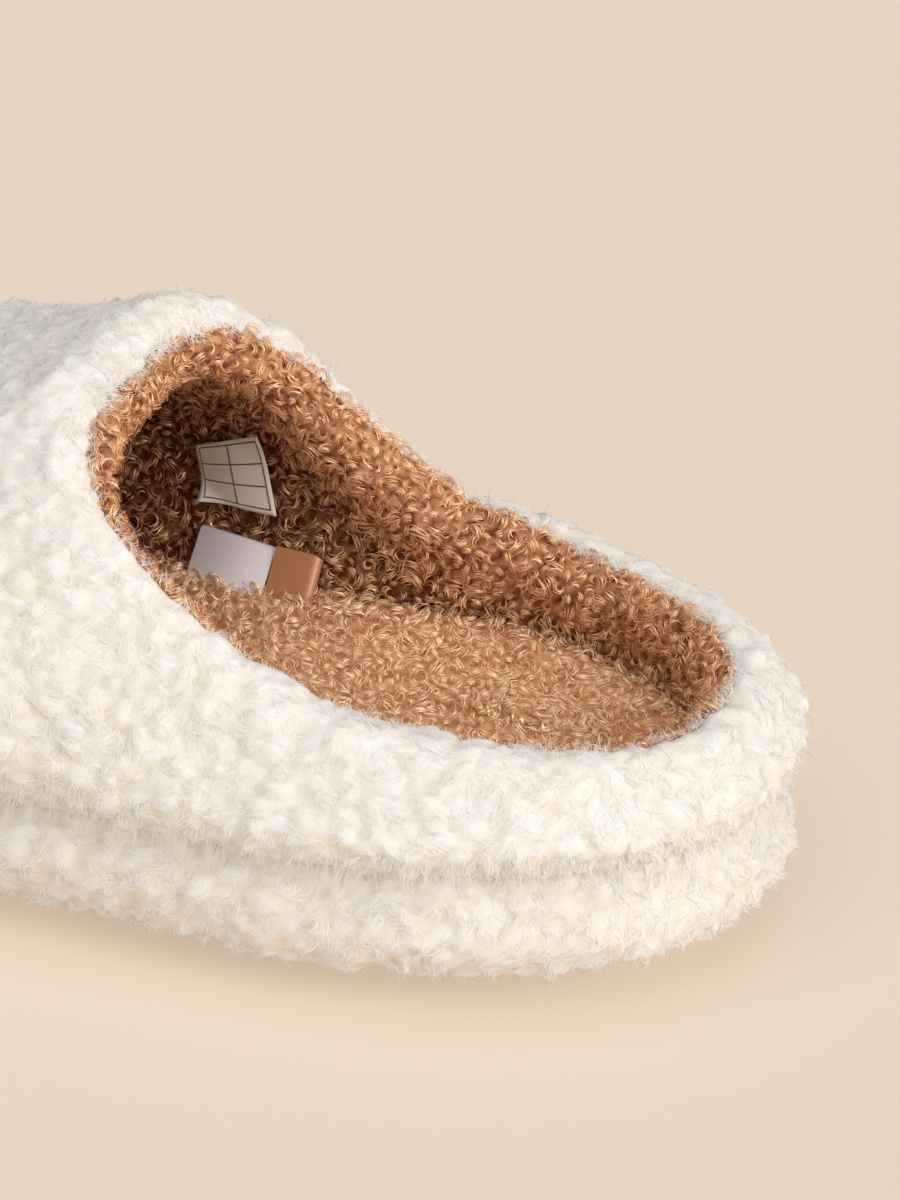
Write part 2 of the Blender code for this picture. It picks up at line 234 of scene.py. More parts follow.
# Curls of the lining and the foot bed
DEEP_X = 0.035                # the shoe's inside is out of sight past here
HALF_X = -0.06                # the full curls at the heel and at the throat are two pieces, which meet here
CURL_SPACING = 1.65 * MM
BED_SPACING = 1.55 * MM
DEEP_SPACING = 2.6 * MM
CURL_TRIES = 20               # random places for each square of the spacing
BED_HIDDEN_Y = 0.010          # the near wall hides the foot bed past here
BED_FACING = 0.1              # the foot bed's pile grows where its normals rise more than this
CURL_SIZE = 0.76              # radius of a curl, as a share of the spacing
CURL_SIZES = (0.6, 1.25)      # shares of the radius
CURL_SUNK = 0.35              # share of the radius that a curl's middle stands over the skin
CURL_TILTS = (0.2, 2.0)       # how far a curl's axis is tilted up from the skin
CURL_STRAY = 0.14             # how far a strand strays from its curl's own winding
CURL_STARTS = (-1.0, 1.0)     # radians by which a strand's middle is turned
CURL_SWEEPS = (3.0, 5.2)      # radians that it winds
CURL_POLES = (-0.4, 0.85)     # how far along the axis it lies, in shares of the radius
CURL_SLANTS = (-0.5, 0.5)     # radians that it slants along the axis
CURL_REACHES = (0.85, 1.05)   # shares of the radius at which it lies
CURL_LOOSE = 0.55             # most that a loose strand stands out, as a share of the radius
CURL_RARE = 4                 # power that keeps loose strands rare
CURL_ROOT = 0.13              # depth of a curl's foot deep in the shoe, painted dark there: painted shade
CURL_BRIGHT = 0.82            # more than that at the rim, painted lighter there: painted light
CURL_TIP = 2.6 * MM           # a curl goes from the roots' colour to the tips' over this height: painted shade at its foot
CURL_PALEST = 1.1             # most depth that a strand has
CURL_SHARED = 0.5             # share of a strand's tint that comes from its curl
CURL_SEAM = 0.6 * MM          # curls stay this far from the seam
STRANDS = 10                  # in a curl that the photo shows
PLAIN_STRANDS = 5             # in one that it doesn't
STRAND_STEPS = 6
STRAND_WIDTH = 0.17 * MM
STRAND_WIDTHS = (0.6, 1.4)    # shares of the width
STRAND_TAPER = 2.4            # radians of the cosine that narrows a strand to both ends
STRAND_UNEVEN = 0.2           # unevenness of its shading
CLUMP_SPACING = 6 * MM        # unevenness of the lining under its curls
CLUMP_HEIGHT = 1.2 * MM
BED_HEIGHT = 0.6 * MM         # and of the foot bed
LINING_DEPTH = 0.03           # of the lining's skin deep in the shoe, painted dark there: painted shade
LINING_LIGHT = 0.34           # more than that at the rim, painted lighter there: painted light
BED_DEPTH = 0.35              # of the foot bed's skin, painted darker between the curls: painted shade

# Stitches on the foot bed
STITCHES = 26
STITCH_START = (-0.0735, -0.0040, 0.0335)
STITCH_END = (-0.0965, -0.0030, 0.0335)
STITCH_WAVE = 0.8 * MM
STITCH_BENDS = 3              # half waves in the row
STITCH_TURNS = (0.0, 0.9)     # radians that a stitch is turned from the row
STITCH_LENGTH = 2.2 * MM
STITCH_LIFT = 2.4 * MM
STITCH_LIFTS = (0.75, 1.1)    # shares of the lift
STITCH_ARCH = 3               # how fast its ends dip into the pile
STITCH_WIDTH = 0.42 * MM

# Labels on the lining. The film's corners lie heelward and up the wall from its middle, in mm.
LABEL_LOW = ((-5.8, -5.6), (9.8, -4.8))
LABEL_HIGH = ((-8.6, 3.5), (5.7, 9.9))
LABEL_LIFT = 1.6 * MM         # the film lies on the curls
LABEL_LEAN = 0.8 * MM         # and its lower edge stands off them
LABEL_BOW = 0.7 * MM
LABEL_BOW_START = 0.1         # share of its width
LOW_CURL = (2.4 * MM, 0.45)   # height of the curl at its low corner, and share of the film that curls
HIGH_CURL = (1.5 * MM, 0.5)   # and at its high one
FILM_THICKNESS = 0.12 * MM
COVER_SHARE = 0.8             # share of a ribbon's size under which the lining has no curls
COVER_DEPTH = 4.0 * MM
TAG_LENGTH = 21.0 * MM        # of the ribbon before it was folded over
TAG_FOLD = 1.1 * MM           # radius of the fold
TAG_TOP = 1.0 * MM            # over the middle of the solid that it replaces
TAG_LIFT = 0.9 * MM
TAG_TILT = -0.045             # rise over run
TAG_SHIFT = 0.9 * MM
TAG_WIDER = 0.8 * MM          # than the solid
TAG_BOW = 1.2 * MM
TAG_BOW_TURN = 2.8            # radians of the bow over its width
LOOP_LENGTH = 19.0 * MM
LOOP_WIDTH = 11.0 * MM
LOOP_FOLD = 1.4 * MM
LOOP_LIFT = 1.4 * MM
LOOP_TOP = 1.2 * MM
LOOP_SHIFT = 1.6 * MM
LOOP_DIP = 0.5 * MM           # at its fold

# Colours. The roots' colours are painted shade: the pile goes darker towards its roots, in the dips between
# tufts and curls and deep in the shoe.
WHITE_ROOT_SHADE = (0.83, 0.755, 0.645)
WHITE_TIP = (0.94, 0.93, 0.92)
HAIR_ROOT_SHADE = (0.80, 0.725, 0.62)
HAIR_TIP = (0.90, 0.89, 0.88)
# faint glow of the white hairs: painted light where they stand in shade
HAIR_PAINTED_GLOW = (0.95, 0.92, 0.87, 1.0)
PILE_ROOT_SHADE = (0.22, 0.06, 0.016)
PILE_TIP = (1.0, 0.61, 0.34)
PILE_GLOSS = (1.0, 0.7, 0.4, 1.0)
BED_ROOT_SHADE = (0.62, 0.30, 0.14)
BED_TIP = (1.0, 0.70, 0.43)
BED_GLOSS = (1.0, 0.75, 0.5, 1.0)
FILM_WHITE = (1.0, 0.96, 0.90, 1.0)
FILM_LINES = (0.16, 0.14, 0.13, 1.0)
WHITE_SATIN = (1.0, 0.95, 1.0)
BRONZE_SATIN = (0.60, 0.25, 0.10)
SATIN_DIP_SHADE = 0.82             # colour of the weave's dips, as a share of the satin's: painted shade that makes its sheen look uneven
GOLD_THREAD = (1.0, 0.66, 0.24)
FLOOR_COLOUR = (0.495, 0.420, 0.348, 1.0)
FLOOR_GLOW = (0.356, 0.300, 0.244, 1.0)
FLOOR_SIZE = 8.0

# Grid on the film, in shares of its size
GRID_START = (0.06, 0.065, 0.0)
GRID_REACH = 0.447            # the grid ends this far from the film's middle
FILM_MIDDLE = (0.5, 0.5, 0.0)
GRID = (
    ("Scale", 1.0),
    ("Brick Width", 0.44),
    ("Row Height", 0.29),
    ("Mortar Size", 0.012),
    ("Mortar Smooth", 0.2),
)

# Camera, at the photo's angle
VIEW_TURN = radians(202.3)
VIEW_RISE = radians(30.0)
VIEW_POINT = np.array((-0.08752, 0.02246, 0.06773))
VIEW_DISTANCE = 1.050
VIEW_LENS = 190.9
VIEW_BACK = np.array((sin(VIEW_TURN) * cos(VIEW_RISE), -cos(VIEW_TURN) * cos(VIEW_RISE), sin(VIEW_RISE)))
VIEW_LEVEL = np.array((sin(VIEW_TURN), -cos(VIEW_TURN), 0.0))
VIEW_RIGHT = np.array((cos(VIEW_TURN), sin(VIEW_TURN), 0.0))

# Light. A sun stands to the camera's right, back towards it and up by these shares.
WORLD_COLOUR = (1.0, 0.985, 0.965, 1.0)
WORLD_STRENGTH = 0.27
SUN_COLOUR = (1.0, 0.985, 0.96)
Sun = namedtuple("Sun", "name right back up strength angle")
SUNS = (
    Sun("key", 0.8, 0.7, 0.5, 1.8, 40.0),
    Sun("overhead", -0.15, 0.25, 1.0, 1.1, 60.0),
    Sun("front", -0.6, 1.0, 0.4, 0.28, 60.0),
)

Tufts = namedtuple("Tufts", "centre normal along across reach height stretch swirl tint")


def unit(vector):
    return vector / np.maximum(np.linalg.norm(vector, axis=-1, keepdims=True), 1e-12)


def ease(share):
    t = np.clip(share, 0.0, 1.0)
    return t * t * (3 - 2 * t)


def read(table, column, at):
    """Smooth curve through one column of a table, which never swings past its rows."""
    places = np.array([row.along for row in table])
    values = np.array([getattr(row, column) for row in table])
    slopes = np.diff(values) / np.diff(places)
    tangents = np.concatenate((slopes[:1], np.zeros(len(slopes) - 1), slopes[-1:]))
    for i in range(1, len(slopes)):
        before, after = slopes[i - 1], slopes[i]
        if before * after > 0:
            tangents[i] = 2 * before * after / (before + after)
    row = np.clip(np.searchsorted(places, at) - 1, 0, len(slopes) - 1)
    step = places[row + 1] - places[row]
    t = np.clip((at - places[row]) / step, 0.0, 1.0)
    rise = values[row + 1] - values[row]
    start, end = step * tangents[row], step * tangents[row + 1]
    return values[row] + start * t + (3 * rise - 2 * start - end) * t**2 + (start + end - 2 * rise) * t**3


def rim_curve(sagged):
    """Samples round the rim. The share of its sag is 0 for the solid's own rim and 1 for the scene's."""
    turn = np.linspace(0, 2 * pi, RIM_SAMPLES, endpoint=False)
    left = turn <= pi
    angle = np.where(left, turn, 2 * pi - turn)
    along = (1 - np.cos(angle)) / 2

    def side_value(table):
        return np.where(left, read(table, "left", along), read(table, "right", along))

    sag = side_value(SAGS)
    corner = HEEL_CORNER + (THROAT_CORNER - HEEL_CORNER) * along
    half = RIM_HALF * np.abs(np.sin(angle)) ** corner
    x = RIM_HEEL + (RIM_THROAT - RIM_HEEL) * along
    y = RIM_SHIFT + np.where(left, half, -half)
    z = side_value(RIMS) - sag * sagged
    middle = np.stack((x, y, z), axis=1)
    run = np.roll(middle, -1, axis=0) - np.roll(middle, 1, axis=0)
    inward = unit(np.stack((run[:, 1], -run[:, 0], np.zeros(RIM_SAMPLES)), axis=1))
    lean = np.radians(read(RIMS, "lean", along))[:, None]
    climb = inward * np.sin(lean) + UP * np.cos(lean)
    away = UP * np.sin(lean) - inward * np.cos(lean)
    seam = side_value(SEAMS) + SEAM_WAVER * sum(np.sin(waves * (turn + SEAM_TURN)) for waves in SEAM_WAVES)
    return Curve(middle, climb, away, seam, sag, side_value(ROLLS))


def over_rim(points, rim):
    """For each point the nearest sample of the rim, the distance from it and the angle over the rim."""
    near = np.empty(len(points), int)
    gap = np.empty(len(points))
    for start in range(0, len(points), RIM_CHUNK):
        chunk = slice(start, start + RIM_CHUNK)
        gaps = np.linalg.norm(points[chunk, None] - rim.middle[None], axis=2)
        near[chunk] = gaps.argmin(axis=1)
        gap[chunk] = gaps.min(axis=1)
    offset = points - rim.middle[near]
    rise = (offset * rim.climb[near]).sum(axis=1)
    out = (offset * rim.away[near]).sum(axis=1)
    angle = np.degrees(np.arctan2(rise, out))
    return near, gap, np.where(angle < -90, angle + 360, angle)


def select_only(item):
    bpy.ops.object.select_all(action="DESELECT")
    bpy.context.view_layer.objects.active = item
    item.select_set(True)


def apply_modifier(item, name, kind, **values):
    select_only(item)
    modifier = item.modifiers.new(name, kind)
    for key, value in values.items():
        setattr(modifier, key, value)
    bpy.ops.object.modifier_apply(modifier=name)


def even_skin(node, name, edge):
    """Copy of a solid, welded and laid out in even quads."""
    item = bpy.data.objects.new(name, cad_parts[node].data.copy())
    bpy.context.scene.collection.objects.link(item)
    item.data.materials.clear()
    select_only(item)
    bpy.ops.object.mode_set(mode="EDIT")
    bpy.ops.mesh.select_all(action="SELECT")
    bpy.ops.mesh.remove_doubles(threshold=WELD)
    bpy.ops.object.mode_set(mode="OBJECT")
    apply_modifier(item, "even", "REMESH", mode="VOXEL", voxel_size=edge)
    apply_modifier(item, "soften", "SMOOTH", factor=0.5, iterations=SOFTENING)
    return item


def points_of(item):
    points = np.empty(len(item.data.vertices) * 3, np.float32)
    item.data.vertices.foreach_get("co", points)
    return points.reshape(-1, 3).astype(float)


def put_points(item, points):
    item.data.vertices.foreach_set("co", points.astype(np.float32).ravel())
    item.data.update()


def normals_of(item):
    normals = np.empty(len(item.data.vertices) * 3, np.float32)
    item.data.vertex_normals.foreach_get("vector", normals)
    return normals.reshape(-1, 3).astype(float)


def triangles_of(item):
    item.data.calc_loop_triangles()
    corners = np.empty(len(item.data.loop_triangles) * 3, np.int32)
    item.data.loop_triangles.foreach_get("vertices", corners)
    return corners.reshape(-1, 3)


def edges_of(item):
    ends = np.empty(len(item.data.edges) * 2, np.int32)
    item.data.edges.foreach_get("vertices", ends)
    return ends.reshape(-1, 2)


def seam_distance(points):
    """Distance of each point over the seam, less than 0 on the fleece's side. Nan away from the rim."""
    rim = rim_curve(1.0)
    near, gap, angle = over_rim(points, rim)
    return np.where(gap < ROLL_REACH * RIM_RADIUS, np.radians(angle - rim.seam[near]) * RIM_RADIUS, np.nan)


def at_rim(points):
    """1 on the rim's roll, falling to 0 down in the shoe; by it the pile is painted lighter at the rim, as
    painted light.
    """
    gap = over_rim(points, rim_curve(1.0))[1]
    return ease((RIM_LIGHT - gap) / (RIM_LIGHT - RIM_FULL * RIM_RADIUS))


def lower_rim(item):
    """Lets the rim sag, with the wall under it."""
    points = points_of(item)
    rim = rim_curve(0.0)
    near, gap = over_rim(points, rim)[:2]
    points[:, 2] -= rim.sag[near] * ease(SAG_END - gap / (2 * RIM_RADIUS))
    put_points(item, points)


def fuller_roll(points):
    """How much further the lining stands out where the rim's roll is fuller."""
    rim = rim_curve(1.0)
    near, gap = over_rim(points, rim)[:2]
    return rim.roll[near] * ease((FULLER_END * RIM_RADIUS - gap) / (FULLER_FADE * RIM_RADIUS))


def lining_side(item, past):
    """1 on the lining and -1 on the fleece, spread from the rim down both faces of the wall."""
    points, normals = points_of(item), normals_of(item)
    side = np.where(np.isnan(past), 0, np.where(past > 0, 1, -1))
    under = (normals[:, 2] < UNDERSIDE) & (points[:, 2] < GROOVE_TOP)
    ends = edges_of(item)
    ends = np.concatenate((ends, ends[:, ::-1]))
    while True:
        fresh = (side[ends[:, 0]] != 0) & (side[ends[:, 1]] == 0) & ~under[ends[:, 1]]
        if not fresh.any():
            break
        side[ends[fresh, 1]] = side[ends[fresh, 0]]
    side[side == 0] = -1
    return side


def keep_faces(item, chosen):
    """Drops the faces that have a corner which isn't chosen."""
    faces = np.array([not all(chosen[i] for i in face.vertices) for face in item.data.polygons])
    select_only(item)
    bpy.ops.object.mode_set(mode="EDIT")
    bpy.ops.mesh.select_mode(type="FACE")
    bpy.ops.mesh.select_all(action="DESELECT")
    bpy.ops.object.mode_set(mode="OBJECT")
    item.data.polygons.foreach_set("select", faces)
    bpy.ops.object.mode_set(mode="EDIT")
    bpy.ops.mesh.delete(type="FACE")
    bpy.ops.object.mode_set(mode="OBJECT")


def copy_of(item, name):
    new = bpy.data.objects.new(name, item.data.copy())
    new.data.name = name
    bpy.context.scene.collection.objects.link(new)
    return new


def scatter(item, density):
    """Random places on an object: points, normals."""
    points, normals, corners = points_of(item), normals_of(item), triangles_of(item)
    a, b, c = (points[corners[:, i]] for i in range(3))
    areas = np.linalg.norm(np.cross(b - a, c - a), axis=1) / 2
    count = int(areas.sum() * density)
    chosen = RANDOM.choice(len(areas), count, p=areas / areas.sum())
    share = np.sqrt(RANDOM.random(count))[:, None]
    turn = RANDOM.random(count)[:, None]
    weights = np.concatenate((1 - share, share * (1 - turn), share * turn), axis=1)[..., None]
    picked = corners[chosen]
    return (points[picked] * weights).sum(axis=1), unit((normals[picked] * weights).sum(axis=1))


def thin_out(points, spacing):
    """Keeps places at least the spacing apart."""
    cells = {}
    kept = []
    keys = np.floor(points / spacing).astype(int)
    around = [(i, j, k) for i in (-1, 0, 1) for j in (-1, 0, 1) for k in (-1, 0, 1)]
    for index, (point, key) in enumerate(zip(points, keys)):
        clear = True
        for i, j, k in around:
            for other in cells.get((key[0] + i, key[1] + j, key[2] + k), ()):
                gap = point - points[other]
                if gap @ gap < spacing * spacing:
                    clear = False
                    break
            if not clear:
                break
        if clear:
            cells.setdefault(tuple(key), []).append(index)
            kept.append(index)
    return np.array(kept)


def tangents(normals):
    """Two directions square to each normal, turned at random."""
    helper = np.where(np.abs(normals[:, 2:]) < 0.8, UP, np.array((1.0, 0.0, 0.0)))
    first = unit(np.cross(helper, normals))
    second = np.cross(normals, first)
    turn = RANDOM.random((len(normals), 1)) * 2 * pi
    along = first * np.cos(turn) + second * np.sin(turn)
    return along, np.cross(normals, along)


def make_tufts(item, spacing, height, keep=None):
    """Tufts spread over an object, where keep allows them."""
    points, normals = scatter(item, TUFT_TRIES / spacing**2)
    if keep is not None:
        chosen = keep(points, normals)
        points, normals = points[chosen], normals[chosen]
    kept = thin_out(points, spacing)
    points, normals = points[kept], normals[kept]
    along, across = tangents(normals)
    count = len(points)
    return Tufts(
        points, normals, along, across,
        spacing * RANDOM.uniform(*TUFT_REACHES, count),
        height * RANDOM.uniform(*TUFT_HEIGHTS, count),
        RANDOM.uniform(1.0, TUFT_STRETCH, count),
        RANDOM.choice((-1.0, 1.0), count) * RANDOM.uniform(*TUFT_SWIRLS, count),
        RANDOM.random(count),
    )


WARP_RUNS = unit(RANDOM.normal(size=(WARP_WAVES, 3)))
WARP_WAYS = unit(RANDOM.normal(size=(WARP_WAVES, 3)))


def warp(points):
    """Points shifted a little by smooth waves, so that no tuft has a plain outline."""
    moved = points.copy()
    for run, way in zip(WARP_RUNS, WARP_WAYS):
        moved += np.sin(points @ run * 2 * pi / WARP_WAVE)[:, None] * way * WARP_SHIFT
    return moved


def nearest_tufts(tufts, points):
    """The tuft that each point belongs to, and how far it and the next one are, in their reaches."""
    tree = KDTree(len(tufts.centre))
    for i, centre in enumerate(tufts.centre):
        tree.insert(centre, i)
    tree.balance()
    shifted = warp(points)
    near = np.array([[found[1] for found in tree.find_n(point, NEIGHBOURS)] for point in shifted])
    offset = shifted[:, None] - tufts.centre[near]
    run = (offset * tufts.along[near]).sum(axis=2) / tufts.stretch[near]
    side = (offset * tufts.across[near]).sum(axis=2) * tufts.stretch[near]
    rise = (offset * tufts.normal[near]).sum(axis=2)
    gaps = np.sqrt(run**2 + side**2 + rise**2) / tufts.reach[near]
    order = np.argsort(gaps, axis=1)[:, :2]
    rows = np.arange(len(points))[:, None]
    return near[rows, order][:, 0], gaps[rows, order]


def skin_tree(item):
    return BVHTree.FromObject(item, bpy.context.evaluated_depsgraph_get())


def hug(tree, points):
    """Nearest places on a skin, and the way the skin faces there."""
    found = [tree.find_nearest(point) for point in points.reshape(-1, 3)]
    places = np.array([spot[0] for spot in found]).reshape(points.shape)
    facing = np.array([spot[1] for spot in found]).reshape(points.shape)
    return places, facing


def add_value(mesh, name, values):
    attribute = mesh.attributes.new(name, "FLOAT", "POINT")
    attribute.data.foreach_set("value", np.ascontiguousarray(values, np.float32).ravel())


def swell_under(swells, points):
    """Broad, low unevenness of the padding under the pile."""
    first, gaps = nearest_tufts(swells, points)
    return swells.height[first] * ease(1 - 2 * gaps[:, 0] / gaps.sum(axis=1))


def dome_at(gap):
    """Height of a tuft at a distance from its middle, as a share of the most."""
    return np.clip(1 - (gap / DOME_END) ** 2, 0, 1)


def raise_tufts(item, tufts, swells, grown, touch):
    """Swells a skin into soft clumps with creases between them, and paints the creases darker as painted
    shade.

    Grown is the pile's share of its height, and touch the skin's own rise where it meets another piece.
    """
    points, normals = points_of(item), normals_of(item)
    first, gaps = nearest_tufts(tufts, points)
    crease = ease((gaps[:, 1] - gaps[:, 0]) / CREASE_WIDTH)
    depth = dome_at(gaps[:, 0]) * (CREASE_SHARE + (1 - CREASE_SHARE) * crease)
    lift = grown * (tufts.height[first] * depth + swell_under(swells, points)) + touch - SKIN_INSET
    moved = points + normals * lift[:, None]
    moved[:, 2] = np.maximum(moved[:, 2], np.minimum(points[:, 2], FLOOR_CLEAR))
    put_points(item, moved)
    item.data.shade_smooth()
    # painted shade: the skin's colour goes towards the roots' colour in the dips between tufts
    add_value(item.data, "depth", depth * SKIN_SHADE)
    add_value(item.data, "tint", tufts.tint[first])


def colour_skin(item, depth):
    """Colours a skin at a depth between its pile's roots and tips, so that it is painted darker between the
    curls: painted shade.
    """
    item.data.shade_smooth()
    count = len(item.data.vertices)
    add_value(item.data, "depth", np.broadcast_to(depth, count))
    add_value(item.data, "tint", RANDOM.uniform(*SKIN_TINTS, count))


def strips_mesh(name, points, depth, tint, facing=None):
    """One mesh of many strips. Points are strips x steps x places across x 3.

    Facing, where it is given, is the way each step is shaded, as strips x steps x 3.
    """
    strips, steps, across = points.shape[:3]
    index = np.arange(strips * steps * across).reshape(strips, steps, across)
    quads = np.stack((index[:, :-1, :-1], index[:, 1:, :-1], index[:, 1:, 1:], index[:, :-1, 1:]), axis=-1)
    quads = quads.reshape(-1, 4)
    mesh = bpy.data.meshes.new(name)
    mesh.vertices.add(index.size)
    mesh.vertices.foreach_set("co", points.astype(np.float32).ravel())
    mesh.loops.add(quads.size)
    mesh.loops.foreach_set("vertex_index", quads.astype(np.int32).ravel())
    mesh.polygons.add(len(quads))
    mesh.polygons.foreach_set("loop_start", np.arange(0, quads.size, 4, dtype=np.int32))
    mesh.update(calc_edges=True)
    mesh.shade_smooth()
    if facing is not None:
        shaded = np.broadcast_to(facing[:, :, None], points.shape)
        mesh.normals_split_custom_set_from_vertices(shaded.reshape(-1, 3))
    add_value(mesh, "depth", np.broadcast_to(depth, points.shape[:3]))
    add_value(mesh, "tint", np.broadcast_to(tint[:, None, None], points.shape[:3]))
    item = bpy.data.objects.new(name, mesh)
    bpy.context.scene.collection.objects.link(item)
    return item


def ribbons(lines, normals, widths):
    """Strips two places wide along lines, facing the normals."""
    run = unit(np.gradient(lines, axis=1))
    side = unit(np.cross(run, normals))
    half = side * (widths / 2)[..., None]
    return np.stack((lines + half, lines - half), axis=2)


def fleece_hairs(name, tufts, swells, tree, touch):
    """Fine hairs that lie round each tuft and wind up to its tip. Touch is the skin's own rise at a place."""
    far = (tufts.normal[:, 1] < FAR_FACING) | (tufts.centre[:, 0] > FAR_X)
    owner = np.repeat(np.arange(len(far)), np.where(far, FAR_HAIRS, HAIRS))
    own = Tufts(*(column[owner] for column in tufts))
    count = len(owner)
    one = (count, 1)
    step = np.linspace(0, 1, HAIR_STEPS)[None, :]
    start = np.sqrt(RANDOM.uniform(*HAIR_STARTS, one))
    wind = own.swirl[:, None] * RANDOM.uniform(*HAIR_WINDS, one)
    radius = start * (1 - RANDOM.uniform(*HAIR_RUNS, one) * step)
    angle = RANDOM.random(one) * 2 * pi + wind * step
    run = np.cos(angle) * radius * (own.reach * own.stretch)[:, None]
    side = np.sin(angle) * radius * (own.reach / own.stretch)[:, None]
    lines = own.centre[:, None] + run[..., None] * own.along[:, None]
    lines, facing = hug(tree, lines + side[..., None] * own.across[:, None])
    dome = dome_at(radius)
    by_seam = ease(1 + np.nan_to_num(seam_distance(tufts.centre), nan=-1.0) / SEAM_FUZZ)
    loose = RANDOM.random(one) ** HAIR_RARE * HAIR_LOOSE * (1 + by_seam[owner][:, None])
    loose = loose * np.where(own.normal[:, 1:2] < RIGHT_FACING, RIGHT_LOOSE, 1.0)
    lift = own.height[:, None] * dome + swell_under(swells, tufts.centre)[owner][:, None]
    lift = lift + (HAIR_FOOT + HAIR_RISE * step) + loose * step**2 - SKIN_INSET + touch(lines, facing)
    lines = lines + facing * lift[..., None]
    lines[..., 2] = np.maximum(lines[..., 2], FLOOR_CLEAR)
    widths = HAIR_WIDTH * RANDOM.uniform(*HAIR_WIDTHS, one) * np.array(HAIR_TAPER)[None]
    # painted shade: hairs are darker at their roots and off their tuft's dome
    depth = HAIR_DEPTH + (1 - HAIR_DEPTH) * (dome * (HAIR_PALE + (1 - HAIR_PALE) * step))[..., None]
    tint = HAIR_SHARED * own.tint + (1 - HAIR_SHARED) * RANDOM.random(count)
    ends = lines[:, ::HAIR_STEPS - 1]
    past = np.nan_to_num(seam_distance(ends.reshape(-1, 3)), nan=-1.0).reshape(-1, 2)
    kept = (past < SEAM_OVERLAP).all(axis=1)
    bulge = (lines - own.centre[:, None]) / own.reach[:, None, None]
    shaded = unit(facing + HAIR_BULGE * bulge + HAIR_UP * UP)
    return strips_mesh(name, ribbons(lines, facing, widths)[kept], depth[kept], tint[kept], shaded[kept])


def bent_lines(root, heading, bend, length):
    """Hairs that set out on a heading and bend from it."""
    step = np.linspace(0, 1, HAIR_STEPS)[None, :, None]
    return root[:, None] + length * (heading[:, None] * step + bend[:, None] * step**2)


def stray_widths(count):
    """Widths of hairs that stand off the fleece, step by step."""
    return HAIR_WIDTH * RANDOM.uniform(*STRAY_WIDTHS, (count, 1)) * np.array(STRAY_TAPER)[None]


def add_fringe(hair):
    """Fine hairs of the fleece that reach over the seam onto the lining, in uneven clumps."""
    rim = rim_curve(1.0)
    share = np.linalg.norm(np.roll(rim.middle, -1, axis=0) - rim.middle, axis=1)
    places = RANDOM.choice(RIM_SAMPLES, FRINGE_CLUMPS, p=share / share.sum())
    near = np.repeat(places, FRINGE_HAIRS)
    reach = np.repeat(FRINGE_LENGTH * RANDOM.uniform(*FRINGE_REACHES, FRINGE_CLUMPS), FRINGE_HAIRS)
    at = Curve(*(column[near] for column in rim))
    count = len(near)
    one = (count, 1)
    inside = (at.middle[:, 1:2] > MIDDLE_Y) & (at.seam[:, None] > FRINGE_INSIDE)
    back = np.where(inside, FRINGE_TOP, FRINGE_ROOT) * RANDOM.random(one)
    angle = np.radians(at.seam[:, None] - back)
    normal = np.cos(angle) * at.away + np.sin(angle) * at.climb
    toward = np.cos(angle) * at.climb - np.sin(angle) * at.away
    aside = np.cross(normal, toward)
    lift = RIM_RADIUS - SKIN_INSET + FRINGE_LIFT * ease(np.radians(back) * RIM_RADIUS / SEAM_FADE)
    root = at.middle + normal * lift + aside * RANDOM.normal(0, FRINGE_SPREAD, one)
    heading = toward * RANDOM.uniform(*FRINGE_TOWARD, one) + aside * RANDOM.normal(0, FRINGE_ASIDE, one)
    heading = heading + normal * RANDOM.uniform(*FRINGE_RISE, one) * np.where(inside, FRINGE_STEEP, 1.0)
    bend = toward * RANDOM.uniform(*FRINGE_BENDS, one) + aside * RANDOM.normal(0, FRINGE_CURVE, one)
    length = (reach * RANDOM.uniform(*FRINGE_LENGTHS, count))[:, None, None]
    lines = bent_lines(root, unit(heading), bend, length)
    widths = stray_widths(count)
    facing = np.broadcast_to(normal[:, None], lines.shape)
    kept = (normal[:, 1] > FRINGE_FACING) & (inside[:, 0] | (RANDOM.random(count) < FRINGE_SPARSE))
    strips = ribbons(lines, facing, widths)[kept]
    shaded = unit(facing + HAIR_UP * UP)[kept]
    hairs = strips_mesh("seam_hairs", strips, FRINGE_DEPTH, RANDOM.random(len(strips)), shaded)
    dress(hairs, hair)


def add_groove_hairs(shell, hair):
    """Hairs that hang from the upper's lower edge and blur the groove over the sole."""
    points, normals = scatter(shell, GROOVE_DENSITY)
    low = (np.abs(normals[:, 2] - LIP_FACING) < LIP_SPAN) & (points[:, 2] < GROOVE_TOP + LIP_HEIGHT)
    root, normal = points[low], normals[low]
    count = len(root)
    one = (count, 1)
    heading = normal * RANDOM.uniform(*GROOVE_OUT, one) - UP * RANDOM.uniform(*GROOVE_DOWN, one)
    heading = heading + RANDOM.normal(0, GROOVE_STRAY, root.shape)
    bend = RANDOM.normal(0, GROOVE_CURVE, root.shape) - GROOVE_DROOP * UP
    length = GROOVE_LENGTH * RANDOM.uniform(*GROOVE_LENGTHS, (count, 1, 1))
    lines = bent_lines(root, unit(heading), bend, length)
    widths = stray_widths(count)
    facing = np.broadcast_to(normal[:, None], lines.shape)
    shaded = unit(facing + GROOVE_UP * UP)
    strips = ribbons(lines, facing, widths)
    hairs = strips_mesh("groove_hairs", strips, GROOVE_DEPTH, RANDOM.random(count), shaded)
    dress(hairs, hair)


